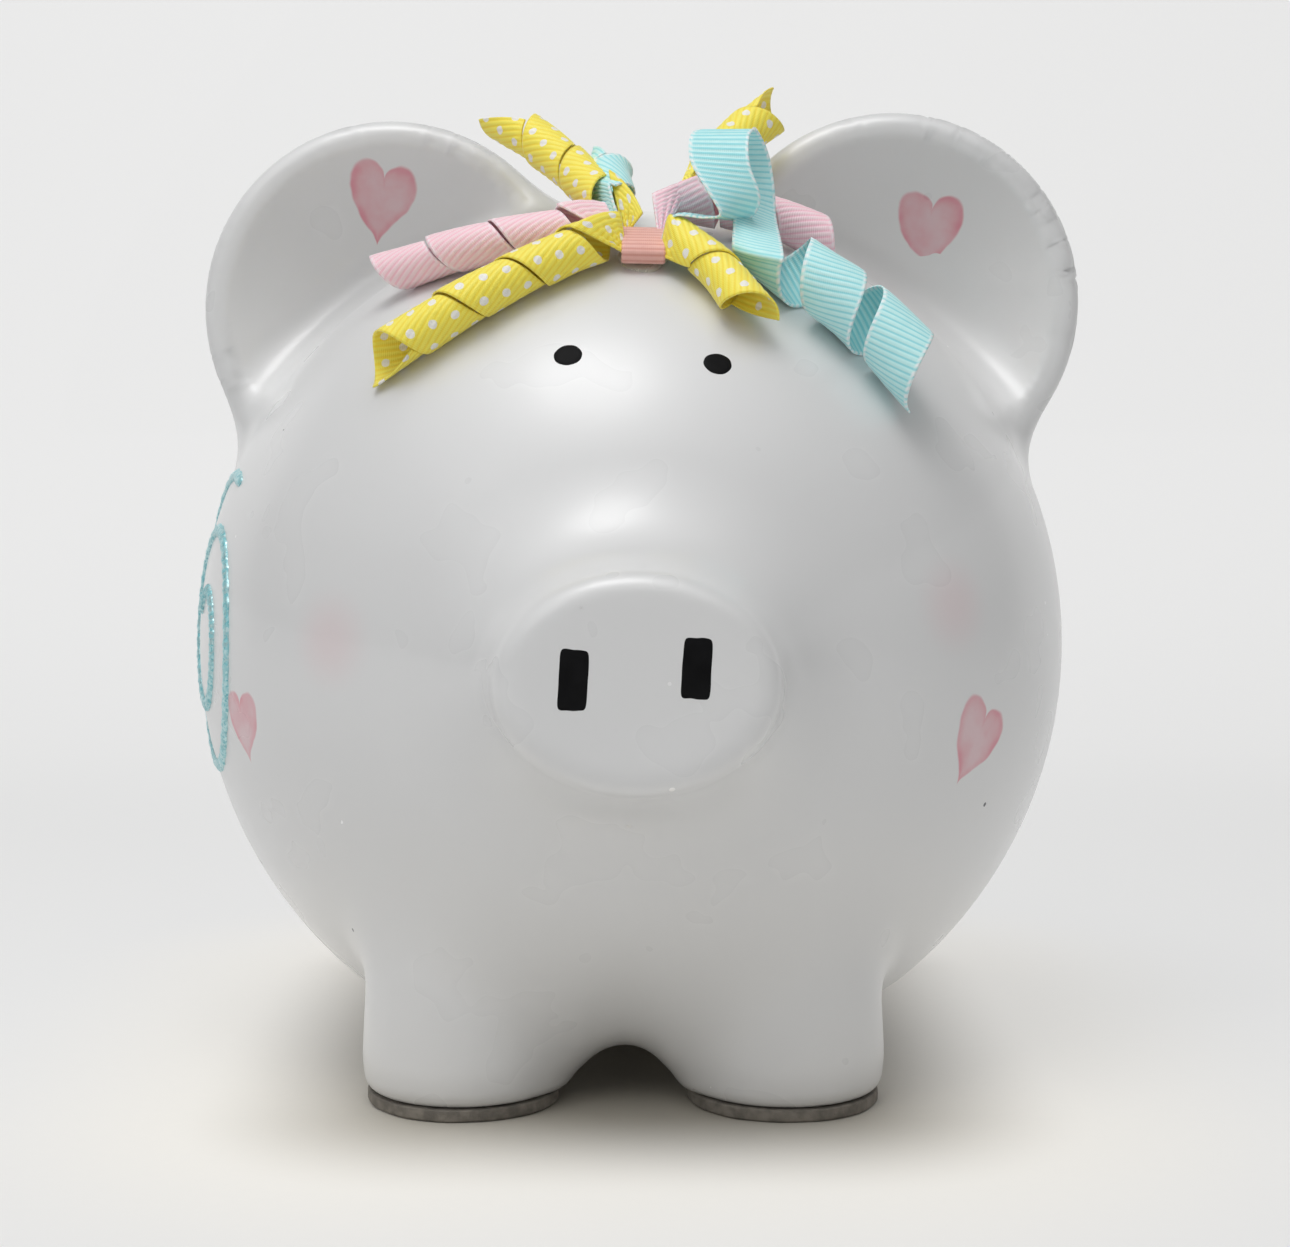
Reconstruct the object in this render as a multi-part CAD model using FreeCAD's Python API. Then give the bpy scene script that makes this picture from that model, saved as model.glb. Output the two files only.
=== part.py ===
"""Ceramic piggy bank with a curled-ribbon bow on its forehead.

The bank is a slip-cast, glazed hollow pig: an almost round body with an oval snout, four short hollow legs,
a flat belly with a stopper hole, and a coin slot along its back. Two dished ears and a curled tail are cast
apart and luted on. A rubber stopper closes the belly and pulls straight down. Round pads are glued under the
feet. The bow is four lengths of curled ribbon, bound with thread, covered by a ribbon band and glued on.

Frame: +Z up, the pig faces -Y, +X is the pig's left. The origin is on the table, under the middle of the
pig's length and width. Lengths are in millimetres.
"""
import FreeCAD
import Part
import math
import os

Vec = FreeCAD.Vector

# --- body ---
BODY_R = 80.0               # half width, and the crown's height above the body's centre
BELLY_CLEARANCE = 9.5       # the flat belly above the table
BELLY_DEPTH = 0.81875 * BODY_R      # the flat belly below the body's centre
BODY_CENTRE_Z = BELLY_CLEARANCE + BELLY_DEPTH
BELLY_EDGE_R = 0.3 * BODY_R         # the round between the flanks and the flat belly
WALL = 4.6                  # slip-cast wall

# --- snout ---
SNOUT_X = 0.9               # the snout sits a little to the pig's left
SNOUT_HALF_W = 21.7
SNOUT_HALF_H = 17.0
SNOUT_PROUD = 15.0          # in front of the body's foremost point
SNOUT_ROOT_Y = -0.6 * BODY_R        # the snout's bar starts here, inside the body
SNOUT_RIM_R = 3.0
SNOUT_BLEND_R = 11.0

# --- legs and foot pads ---
LEG_X = 0.34 * BODY_R       # from the middle of the legs
LEGS_MIDDLE_X = -1.3        # the legs sit a little to the pig's right
LEG_Y = 0.5625 * BODY_R
FOOT_R = 16.5
LEG_TOP_R = FOOT_R + 1.7
LEG_BURY = 3.0              # how far the leg's top rim lies above the body's surface, inside it
FOOT_EDGE_R = 1.2
PAD_T = 2.2
PAD_INSET = 0.3             # pad radius under the foot's radius
PAD_EDGE_R = 0.5

# --- openings in the shell ---
SLOT_W = 5.0
SLOT_LENGTH = 38.0
SLOT_Y = 0.425 * BODY_R     # middle of the slot, behind the crown
HOLE_R = 15.5               # stopper hole at the outside of the belly
HOLE_TAPER = 0.4            # how much narrower the hole is inside

# --- stopper ---
STOPPER_CLEARANCE = 0.08    # radial, all along the taper
STOPPER_DEPTH = 10.0        # plug above the belly's outside face
STOPPER_WALL = 3.0
STOPPER_TIP_R = 1.0
FLANGE_LAP = 4.5            # flange beyond the hole's edge
FLANGE_T = 2.4
FLANGE_EDGE_R = 0.8
TAB_LENGTH = 22.0
TAB_T = 4.0
TAB_DROP = 3.6              # the finger tab below the flange
TAB_CORNER_R = 1.5
TAB_EDGE_R = 0.8
TAB_BURY = 0.5              # how far the tab runs up into the flange

# --- ears ---
EAR_R = 34.5
EAR_PLACES = {              # bearing of each ear's middle round the body's centre, its depth under the skin
    "right_ear": (125.5, 4.5),
    "left_ear": (52.8, 0.9),
}
EAR_Y = -6.5                # the rim's middle, in Y: the back ribbon's curls pass in front of both rims
EAR_WALL = 6.0
EAR_DISH = 10.0             # how deep the dish is, from the rim's middle

# --- tail ---
TAIL_TUBE_R = 3.2
TAIL_COIL_R = 6.0
TAIL_RISE = 13.0            # how far one turn runs back
TAIL_TURNS = 1.35
TAIL_Z = BODY_CENTRE_Z + 0.2875 * BODY_R
TAIL_SINK = 2.5             # how deep the tail's root starts, behind the rump's surface

# --- bow ---
BOW_X = 0.025 * BODY_R
BOW_Y = -0.5375 * BODY_R
GLUE_T = 0.8
GLUE_R = 5.4
GLUE_BURY = 3.0             # the dab's disc starts this far inside the head and is cut to its surface
BAND_WIDTH = 6.6
BAND_T = 0.6
BAND_CORNER_R = 0.5
THREAD_T = 0.35
THREAD_WIDTH = 1.6
THREAD_CORNER_R = 0.3
GATHER_R = 0.75             # a ribbon gathered to pass through the band
GATHER_GAP = 0.35
CURL_R = 3.5                # a ribbon wound to a curl 7 mm across
LOOSE_CURL_R = 5.6
LEAD_REACH = 5.2            # where a gathered ribbon leaves the band, from the bow's middle

SNOUT_FRONT_Y = -(BODY_R + SNOUT_PROUD)
CENTRE = Vec(0, 0, BODY_CENTRE_Z)
LEG_TOP_REACH = math.hypot(LEG_X - LEGS_MIDDLE_X, LEG_Y) + LEG_TOP_R
LEG_TOP_Z = BODY_CENTRE_Z - math.sqrt(BODY_R ** 2 - LEG_TOP_REACH ** 2) + LEG_BURY
FLANGE_R = HOLE_R + FLANGE_LAP
ON_FACE = 0.01              # an edge this near a face's level lies on it


def profile_face(inset):
    """Half section of the body in XZ: crown, belly edge and flat belly, all moved in by inset."""
    r, edge_r, depth = BODY_R - inset, BELLY_EDGE_R - inset, BELLY_DEPTH - inset
    edge_z = -(depth - edge_r)
    edge_x = math.sqrt((r - edge_r) ** 2 - edge_z ** 2)
    lean = math.atan2(edge_z, edge_x)
    meet = Vec(r * math.cos(lean), 0, r * math.sin(lean))
    half = (lean - math.pi / 2) / 2
    edge_mid = Vec(edge_x + edge_r * math.cos(half), 0, edge_z + edge_r * math.sin(half))
    crown, flat_end, foot = Vec(0, 0, r), Vec(edge_x, 0, -depth), Vec(0, 0, -depth)
    shoulder = (math.pi / 2 + lean) / 2
    side = Vec(r * math.cos(shoulder), 0, r * math.sin(shoulder))
    edges = [
        Part.Arc(crown, side, meet).toShape(),
        Part.Arc(meet, edge_mid, flat_end).toShape(),
        Part.makeLine(flat_end, foot),
        Part.makeLine(foot, crown),
    ]
    return Part.Face(Part.Wire(edges))


def round_body(inset):
    """The body without snout or legs, as a solid of revolution."""
    solid = profile_face(inset).revolve(Vec(0, 0, 0), Vec(0, 0, 1), 360)
    solid.translate(CENTRE)
    return solid


def oval_prism(half_w, half_h, y_front, y_back):
    """An oval bar along Y."""
    middle = CENTRE + Vec(SNOUT_X, 0, 0)
    oval = Part.Ellipse(middle, half_w, half_h).toShape()
    oval.rotate(middle, Vec(1, 0, 0), 90)
    oval.translate(Vec(0, y_back, 0))
    return Part.Face(Part.Wire([oval])).extrude(Vec(0, y_front - y_back, 0))


def on_snout_side(point):
    """Whether a point lies on the snout's oval side."""
    share = math.hypot((point.x - SNOUT_X) / SNOUT_HALF_W, (point.z - BODY_CENTRE_Z) / SNOUT_HALF_H)
    return abs(share - 1) < 0.02


def edges_near(shape, test):
    """The shape's edges whose sampled points all pass the test."""
    found = []
    for edge in shape.Edges:
        if edge.Degenerated or edge.Length < 0.01:
            continue
        first, last = edge.ParameterRange
        points = [edge.valueAt(first + (last - first) * k / 8) for k in range(9)]
        if all(test(p) for p in points):
            found.append(edge)
    return found


def biggest(shape):
    """The largest of a shape's solids."""
    return max(shape.Solids, key=lambda solid: solid.Volume)


def leg_places():
    """Name and centre of each leg."""
    right, left = LEGS_MIDDLE_X - LEG_X, LEGS_MIDDLE_X + LEG_X
    return {
        "front_right": (right, -LEG_Y),
        "front_left": (left, -LEG_Y),
        "rear_right": (right, LEG_Y),
        "rear_left": (left, LEG_Y),
    }


def leg(x, y, inset):
    """One short tapered leg, from above its pad to inside the body."""
    low = PAD_T + inset
    solid = Part.makeCone(FOOT_R - inset, LEG_TOP_R - inset, LEG_TOP_Z - low, Vec(x, y, low))
    return solid.makeFillet(FOOT_EDGE_R, edges_near(solid, lambda p: p.z < low + ON_FACE))


def outer_skin():
    """The glazed outside of the shell as one solid."""
    skin = round_body(0).fuse(oval_prism(SNOUT_HALF_W, SNOUT_HALF_H, SNOUT_FRONT_Y, SNOUT_ROOT_Y))
    root = edges_near(skin, lambda p: -BODY_R < p.y < SNOUT_ROOT_Y and on_snout_side(p))
    skin = skin.makeFillet(SNOUT_BLEND_R, root)
    skin = skin.makeFillet(SNOUT_RIM_R, edges_near(skin, lambda p: p.y < SNOUT_FRONT_Y + ON_FACE))
    for x, y in leg_places().values():
        skin = skin.fuse(leg(x, y, 0))
    return skin


def cavity():
    """The hollow inside: body, snout and legs."""
    snout = oval_prism(SNOUT_HALF_W - WALL, SNOUT_HALF_H - WALL, SNOUT_FRONT_Y + WALL, SNOUT_ROOT_Y)
    hollow = round_body(WALL).fuse(snout)
    for x, y in leg_places().values():
        hollow = hollow.fuse(leg(x, y, WALL))
    return hollow


def coin_slot():
    """A vertical cutter with round ends, through the back's wall only."""
    half = (SLOT_LENGTH - SLOT_W) / 2
    low = BODY_CENTRE_Z + BODY_R / 2
    height = BODY_R
    bar = Part.makeBox(SLOT_W, 2 * half, height, Vec(-SLOT_W / 2, SLOT_Y - half, low))
    for end in (SLOT_Y - half, SLOT_Y + half):
        bar = bar.fuse(Part.makeCylinder(SLOT_W / 2, height, Vec(0, end, low)))
    return bar.removeSplitter()


def stopper_hole():
    """The tapered hole in the belly, narrower inside."""
    return Part.makeCone(HOLE_R, HOLE_R - HOLE_TAPER, WALL, Vec(0, 0, BELLY_CLEARANCE))


def body_shell(skin):
    """The slip-cast pig."""
    return skin.cut(cavity()).cut(coin_slot()).cut(stopper_hole())


def ear(bearing, depth, skin):
    """One dished ear, luted to the body, with its middle at a bearing and a depth under the body's skin."""
    rim_r = EAR_WALL / 2
    reach = EAR_R - rim_r
    drop = EAR_DISH + rim_r
    dish_r = (reach ** 2 + drop ** 2) / (2 * drop)

    def on_dish(x, back):
        return Vec(x, EAR_DISH + back - dish_r + math.sqrt(dish_r ** 2 - x ** 2), 0)

    section = Part.Wire([
        Part.Arc(on_dish(0, 0), on_dish(reach * 0.6, 0), on_dish(reach, 0)).toShape(),
        Part.Arc(on_dish(reach, 0), Vec(EAR_R, 0, 0), on_dish(reach, EAR_WALL)).toShape(),
        Part.Arc(on_dish(reach, EAR_WALL), on_dish(reach * 0.6, EAR_WALL), on_dish(0, EAR_WALL)).toShape(),
        Part.makeLine(on_dish(0, EAR_WALL), on_dish(0, 0)),
    ])
    cup = Part.Face(section).revolve(Vec(0, 0, 0), Vec(0, 1, 0), 360)
    turn = math.radians(bearing)
    cup.translate(CENTRE + Vec(math.cos(turn), 0, math.sin(turn)) * (BODY_R - depth) + Vec(0, EAR_Y, 0))
    return biggest(cup.cut(skin))


def tail(skin):
    """A clay coil of one turn and a bit, luted to the rump."""
    start_y = math.sqrt(BODY_R ** 2 - (TAIL_Z - BODY_CENTRE_Z) ** 2) - TAIL_SINK
    coil = Part.makeHelix(TAIL_RISE, TAIL_RISE * TAIL_TURNS, TAIL_COIL_R)
    coil.rotate(Vec(0, 0, 0), Vec(1, 0, 0), -90)
    coil.translate(Vec(0, start_y, TAIL_Z))
    first = coil.Edges[0]
    begin = first.valueAt(first.FirstParameter)
    along = first.tangentAt(first.FirstParameter)
    ring = Part.Wire([Part.Circle(begin, along, TAIL_TUBE_R).toShape()])
    tube = Part.Wire(coil.Edges).makePipeShell([ring], True, True)
    last = coil.Edges[-1]
    tip = Part.makeSphere(TAIL_TUBE_R, last.valueAt(last.LastParameter))
    return biggest(tube.fuse(tip).cut(skin))


def foot_pad(x, y):
    """A round pad glued under a foot."""
    pad = Part.makeCylinder(FOOT_R - PAD_INSET, PAD_T, Vec(x, y, 0))
    return pad.makeFillet(PAD_EDGE_R, edges_near(pad, lambda p: p.z < ON_FACE))


def stopper():
    """Soft rubber plug: a hollow tapered cup, a flange under the belly and a finger tab."""
    plug_r = HOLE_R - STOPPER_CLEARANCE
    top_r = plug_r - STOPPER_DEPTH * HOLE_TAPER / WALL
    top_z = BELLY_CLEARANCE + STOPPER_DEPTH
    flange_z = BELLY_CLEARANCE - FLANGE_T
    tab_z = flange_z - TAB_DROP
    plug = Part.makeCone(plug_r, top_r, STOPPER_DEPTH, Vec(0, 0, BELLY_CLEARANCE))
    plug = plug.makeFillet(STOPPER_TIP_R, edges_near(plug, lambda p: p.z > top_z - ON_FACE))
    flange = Part.makeCylinder(FLANGE_R, FLANGE_T, Vec(0, 0, flange_z))
    flange = flange.makeFillet(FLANGE_EDGE_R, edges_near(flange, lambda p: p.z < flange_z + ON_FACE))
    well = Part.makeCylinder(top_r - STOPPER_WALL, STOPPER_DEPTH, Vec(0, 0, flange_z + FLANGE_T * 1.5))
    corner = Vec(-TAB_LENGTH / 2, -TAB_T / 2, tab_z)
    tab = Part.makeBox(TAB_LENGTH, TAB_T, TAB_DROP + TAB_BURY, corner)
    upright = [edge for edge in tab.Edges if abs(edge.tangentAt(edge.FirstParameter).z) > 0.9]
    tab = tab.makeFillet(TAB_CORNER_R, upright)
    tab = tab.makeFillet(TAB_EDGE_R, edges_near(tab, lambda p: p.z < tab_z + ON_FACE))
    return plug.fuse(flange).cut(well).fuse(tab).removeSplitter()


def bow_axes():
    """The bow's seat on the forehead, and its directions: out of the head, across and up the head."""
    seat = Vec(BOW_X, BOW_Y, BODY_CENTRE_Z + math.sqrt(BODY_R ** 2 - BOW_X ** 2 - BOW_Y ** 2))
    out = (seat - CENTRE).normalize()
    across = (Vec(1, 0, 0) - out * out.x).normalize()
    return seat, out, across, out.cross(across)


SEAT, OUT, ACROSS, UP_HEAD = bow_axes()
RIBBONS = ("yellow_ribbon_front", "aqua_ribbon", "pink_ribbon", "yellow_ribbon_back")
BUNDLE_H = 2 * GATHER_R * len(RIBBONS) + GATHER_GAP * (len(RIBBONS) - 1)
BAND_MID = GLUE_T + BAND_T + THREAD_T + GATHER_R


def from_head(across, up, out):
    """A point in the bow's own directions, measured from its seat."""
    return SEAT + ACROSS * across + UP_HEAD * up + OUT * out


def over_head(across, up, lift):
    """A point over the head's round surface at a height lift, across and up from the bow's seat."""
    out = math.sqrt((BODY_R + lift) ** 2 - across ** 2 - up ** 2) - BODY_R
    return from_head(across, up, out)


def ring_box(width, inner_up, inner_out, thick, corner):
    """A rectangular ring round the bundle, width along ACROSS."""
    def block(grow):
        up, out = inner_up + 2 * grow, inner_out + 2 * grow
        solid = Part.makeBox(width, up, out, Vec(-width / 2, -up / 2, -out / 2))
        lengthwise = [edge for edge in solid.Edges if abs(edge.tangentAt(edge.FirstParameter).x) > 0.9]
        return solid.makeFillet(corner + grow, lengthwise)

    ring = block(thick).cut(block(0))
    place = FreeCAD.Matrix(
        ACROSS.x, UP_HEAD.x, OUT.x, 0,
        ACROSS.y, UP_HEAD.y, OUT.y, 0,
        ACROSS.z, UP_HEAD.z, OUT.z, 0,
        0, 0, 0, 1,
    )
    ring = ring.transformed(place)
    ring.translate(from_head(0, 0, BAND_MID))
    return ring


def binding_thread():
    """Thread wound round the gathered ribbons."""
    return ring_box(THREAD_WIDTH, BUNDLE_H, 2 * GATHER_R, THREAD_T, THREAD_CORNER_R)


def centre_band():
    """The pink ribbon band over the thread."""
    wound_h = BUNDLE_H + 2 * THREAD_T
    return ring_box(BAND_WIDTH, wound_h, 2 * (GATHER_R + THREAD_T), BAND_T, BAND_CORNER_R)


def glue_dab(skin):
    """Hot-melt glue between the head and the band."""
    dab = Part.makeCylinder(GLUE_R, GLUE_BURY + GLUE_T, from_head(0, 0, -GLUE_BURY), OUT)
    return dab.cut(skin)


def rod(start, end, radius, end_radius=None):
    """A straight round bar, widening to end_radius if one is given."""
    along = end - start
    if end_radius is None:
        return Part.makeCylinder(radius, along.Length, start, along)
    return Part.makeCone(radius, end_radius, along.Length, start, along)


def curl(places, radius):
    """A round bar bent to the arc through three places over the head."""
    start, mid, end = [over_head(across, up, gap + radius) for across, up, gap in places]
    arc = Part.Arc(start, mid, end).toShape()
    ring = Part.Wire([Part.Circle(start, arc.tangentAt(arc.FirstParameter), radius).toShape()])
    return Part.Wire([arc]).makePipeShell([ring], True, True)


def gathered(level, ends):
    """One ribbon: gathered through the band at its level, with a lead and a curl at each end."""
    up = -BUNDLE_H / 2 + GATHER_R + level * (2 * GATHER_R + GATHER_GAP)
    exits = {side: from_head(side * LEAD_REACH, up, BAND_MID) for side in (-1, 1)}
    solid = rod(exits[-1], exits[1], GATHER_R)
    for side, lead, places, radius in ends:
        last = exits[side]
        for across, up, gap in lead:
            point = over_head(across, up, gap + GATHER_R)
            solid = solid.fuse(rod(last, point, GATHER_R)).fuse(Part.makeSphere(GATHER_R, point))
            last = point
        across, up, gap = places[0]
        start = over_head(across, up, gap + radius)
        solid = solid.fuse(rod(last, start, GATHER_R, radius)).fuse(curl(places, radius))
    return solid.removeSplitter()


# Each ribbon's two ends: the side of the band it leaves, the places its lead passes, the start, middle and end
# of its curl, and the curl's radius. A place is (across, up, gap): across and up the head from the bow's seat,
# and the gap between the head and the ribbon. The lead widens into the curl.
LYING = 0.7
BESIDE_FRONT = 2 * CURL_R - 3.9     # beside the front ribbon's left curl
CURLS = {
    "yellow_ribbon_front": [
        (-1, [], [(-11.1, -4.2, LYING), (-28.0, -12.7, LYING), (-43.3, -18.2, LYING)], CURL_R),
        (1, [], [(8.4, -3.1, LYING), (12.7, -9.1, LYING), (16.5, -16.3, LYING)], CURL_R),
    ],
    "aqua_ribbon": [
        (
            -1, [(-5.2, 2.4, 7.2)],
            [(-2.7, 19.5, 5.0), (-1.6, 24.8, 5.5), (2.9, 27.0, 5.0)], CURL_R,
        ),
        (
            1, [(5.8, 1.7, 6.7), (9.3, 5.4, 7.7)],
            [(18.9, 5.8, LYING), (31.0, -4.4, LYING), (43.2, -14.4, LYING)], LOOSE_CURL_R,
        ),
    ],
    "pink_ribbon": [
        (
            -1, [(-7.8, 1.2, 2.1)],
            [(-14.1, BESIDE_FRONT, LYING), (-28.0, BESIDE_FRONT + 1.1, LYING), (-42.8, 10.3, LYING)],
            CURL_R,
        ),
        (
            1, [(8.8, 3.3, 2.3)],
            [(11.9, 13.1, LYING), (21.5, 18.2, LYING), (32.1, 17.6, LYING)], CURL_R,
        ),
    ],
    "yellow_ribbon_back": [
        (-1, [], [(-12.1, 23.5, 5.5), (-19.2, 32.9, 11.0), (-27.2, 40.0, 17.0)], CURL_R),
        (
            1, [(5.1, 6.5, 7.2)],
            [(12.8, 28.0, 10.5), (19.2, 35.2, 16.0), (25.7, 43.6, 22.5)], CURL_R,
        ),
    ],
}


def main():
    os.makedirs("parts", exist_ok=True)
    skin = outer_skin()
    nodes = {
        "body_shell": body_shell(skin),
        "tail": tail(skin),
        "stopper": stopper(),
        "binding_thread": binding_thread(),
        "centre_band": centre_band(),
        "glue_dab": glue_dab(skin),
    }
    for name, (bearing, depth) in EAR_PLACES.items():
        nodes[name] = ear(bearing, depth, skin)
    for name, (x, y) in leg_places().items():
        nodes[name + "_foot_pad"] = foot_pad(x, y)
    for level, name in enumerate(RIBBONS):
        nodes[name] = gathered(level, CURLS[name])
    for name, shape in nodes.items():
        print(name, "valid" if shape.isValid() else "NOT VALID", len(shape.Solids), round(shape.Volume, 1))
        shape.exportStep(f"parts/{name}.step")


main()
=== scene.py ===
"""Glazed ceramic piggy bank with a curled-ribbon bow, dressed over its CAD frame.

Lengths are in metres, in the frame's own axes: +Z up, the pig faces -Y, +X is the pig's left.
"""
import math

import bmesh
import bpy
import numpy as np
from mathutils import Matrix, Vector


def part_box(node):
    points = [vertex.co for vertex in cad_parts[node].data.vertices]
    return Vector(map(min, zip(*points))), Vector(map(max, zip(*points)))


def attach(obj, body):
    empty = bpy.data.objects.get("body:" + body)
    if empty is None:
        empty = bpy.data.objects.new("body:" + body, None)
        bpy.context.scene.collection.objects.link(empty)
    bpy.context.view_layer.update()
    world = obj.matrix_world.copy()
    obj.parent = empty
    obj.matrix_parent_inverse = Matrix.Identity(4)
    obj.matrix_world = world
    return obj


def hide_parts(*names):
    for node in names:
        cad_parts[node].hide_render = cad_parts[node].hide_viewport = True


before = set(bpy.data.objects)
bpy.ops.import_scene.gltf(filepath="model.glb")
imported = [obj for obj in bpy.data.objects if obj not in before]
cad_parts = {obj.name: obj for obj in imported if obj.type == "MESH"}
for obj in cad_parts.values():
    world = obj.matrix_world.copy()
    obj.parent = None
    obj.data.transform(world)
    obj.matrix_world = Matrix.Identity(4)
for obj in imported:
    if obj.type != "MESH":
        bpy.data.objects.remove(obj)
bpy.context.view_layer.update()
MM = 0.001
BODY = "bank"


# --- the frame's own sizes ---
def low_high(node):
    low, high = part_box(node)
    return np.array(low), np.array(high)


shell_low, shell_high = low_high("body_shell")
BELLY_Z = 9.5 * MM
BODY_R = shell_high[1]
CENTRE = np.array([0.0, 0.0, shell_high[2] - BODY_R])
SNOUT_Y = shell_low[1]
FOOT_Z = shell_low[2]
WALL = 4.6 * MM
PAD_T = 2.2

# --- camera ---
CAMERA_DISTANCE = 427 * MM
CAMERA_RISE = math.radians(4.0)
LENS_MM = 63.06
SHIFT = (0.0109, 0.0143)


def add_camera():
    place = CENTRE + CAMERA_DISTANCE * np.array([0.0, -math.cos(CAMERA_RISE), math.sin(CAMERA_RISE)])
    bpy.ops.object.camera_add(location=place, rotation=(math.pi / 2 - CAMERA_RISE, 0.0, 0.0))
    camera = bpy.context.object
    camera.data.lens = LENS_MM
    camera.data.shift_x, camera.data.shift_y = SHIFT
    bpy.context.scene.camera = camera


add_camera()


# --- small helpers for modelling ---
def deselect():
    if bpy.context.mode != "OBJECT":
        bpy.ops.object.mode_set(mode="OBJECT")
    bpy.ops.object.select_all(action="DESELECT")


def only(piece):
    """Makes piece the one selected and active object."""
    deselect()
    piece.select_set(True)
    bpy.context.view_layer.objects.active = piece
    return piece


def named(name):
    piece = bpy.context.object
    piece.name = piece.data.name = name
    return piece


def settle(piece):
    """Puts the piece's place, turn and scale into its mesh."""
    only(piece)
    bpy.ops.object.transform_apply(location=True, rotation=True, scale=True)
    return piece


def apply_modifier(piece, kind, **settings):
    only(piece)
    modifier = piece.modifiers.new(kind.title(), kind)
    for key, value in settings.items():
        setattr(modifier, key, value)
    bpy.ops.object.modifier_apply(modifier=modifier.name)
    return piece


def joined(pieces, name):
    only(pieces[0])
    for piece in pieces:
        piece.select_set(True)
    bpy.ops.object.join()
    return named(name)


def points_of(piece):
    flat = np.empty(len(piece.data.vertices) * 3)
    piece.data.vertices.foreach_get("co", flat)
    return flat.reshape(-1, 3)


def move_points(piece, points):
    piece.data.vertices.foreach_set("co", np.ascontiguousarray(points, dtype=np.float32).ravel())
    piece.data.update()


def shade_smooth(piece):
    only(piece)
    bpy.ops.object.shade_smooth()


# --- the pig's glazed skin ---
EAR_R = 34.5 * MM
EAR_WALL = 6.0 * MM
EAR_DEPTH = 13.0 * MM
EAR_Y = low_high("left_ear")[0][1] + EAR_WALL / 2
EARS = (
    (low_high("left_ear")[1][0] - EAR_R, low_high("left_ear")[1][2] - EAR_R),
    (low_high("right_ear")[0][0] + EAR_R, low_high("right_ear")[1][2] - EAR_R),
)
LEGS = [
    tuple((sum(low_high(f"{n}_foot_pad")) / 2)[:2])
    for n in ("front_left", "front_right", "rear_left", "rear_right")
]
LEGS_MIDDLE = sum(x for x, y in LEGS) / 4
SNOUT_X = 0.9 * MM
SNOUT_HALF = (21.7 * MM, 17.0 * MM)
SLOT_Y = 34 * MM
SLOT_HALF_LENGTH = 19 * MM
SLOT_HALF_W = 2.5 * MM
HOLE_R = 15.5 * MM
TAIL_Z = 98 * MM
TAIL_COIL_R = 6 * MM
TAIL_TUBE_R = 3.2 * MM
TAIL_RISE = 13 * MM
TAIL_TURNS = 1.35


def soft_min(a, b, k):
    """The smaller of two distances, rounded where they meet."""
    h = np.maximum(k - np.abs(a - b), 0.0) / k
    return np.minimum(a, b) - h * h * k / 4


def soft_max(a, b, k):
    return -soft_min(-a, -b, k)


def tail_line():
    start_y = math.sqrt(BODY_R ** 2 - (TAIL_Z - CENTRE[2]) ** 2) - 2.5 * MM
    turn = np.linspace(0.0, TAIL_TURNS, 40)
    angle = 2 * np.pi * turn
    return np.stack(
        [TAIL_COIL_R * np.cos(angle), start_y + TAIL_RISE * turn, TAIL_Z - TAIL_COIL_R * np.sin(angle)], axis=1
    )


TAIL = tail_line()


def line_distance(points, line):
    """Distance of points to a polyline."""
    best = np.full(len(points), np.inf)
    for a, b in zip(line[:-1], line[1:]):
        along = b - a
        t = np.clip((points - a) @ along / (along @ along), 0.0, 1.0)
        best = np.minimum(best, np.linalg.norm(points - a - t[:, None] * along, axis=1))
    return best


def leg_distance(points, x, y):
    z = points[:, 2]
    bulge = (z - 9 * MM) / (9 * MM)
    radius = np.where(
        z < 9 * MM, 17.3 * MM - 1.3 * MM * bulge ** 2, 17.3 * MM - 0.5 * MM * np.minimum(bulge, 1.6)
    )
    side = np.hypot(points[:, 0] - x, points[:, 1] - y) - radius
    side = soft_max(side, FOOT_Z - z, 2.5 * MM)
    return soft_max(side, z - 60 * MM, 4 * MM)


def snout_distance(points):
    x, z = points[:, 0] - SNOUT_X, points[:, 2] - CENTRE[2]
    a, b = SNOUT_HALF
    q = np.hypot(x / a, z / b)
    side = q * (q - 1) / np.maximum(np.hypot(x / a ** 2, z / b ** 2), 1e-6)
    front = SNOUT_Y - points[:, 1]
    return soft_max(soft_max(side, front, 5.0 * MM), points[:, 1] + 40 * MM, 4 * MM)


def ear_distance(points, x, z):
    """A dished round shell: an arc turned about the ear's axis, thickened by half its wall each way."""
    reach = EAR_R - EAR_WALL / 2
    arc_r = (reach ** 2 + EAR_DEPTH ** 2) / (2 * EAR_DEPTH)
    across = np.hypot(points[:, 0] - x, points[:, 2] - z)
    back = points[:, 1] - EAR_Y - EAR_DEPTH + arc_r
    edge_back = arc_r - EAR_DEPTH
    inside = across * edge_back < back * reach
    arc = np.abs(np.hypot(across, back) - arc_r)
    edge = np.hypot(across - reach, back - edge_back)
    return np.where(inside, arc, edge) - EAR_WALL / 2


def slot_distance(points):
    along = np.maximum(np.abs(points[:, 1] - SLOT_Y) - (SLOT_HALF_LENGTH - SLOT_HALF_W), 0.0)
    stadium = np.hypot(points[:, 0], along) - SLOT_HALF_W
    return np.maximum(stadium, CENTRE[2] + 40 * MM - points[:, 2])


def hole_distance(points):
    pipe = np.hypot(points[:, 0], points[:, 1]) - HOLE_R
    return np.maximum(pipe, points[:, 2] - BELLY_Z - 12 * MM)


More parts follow.
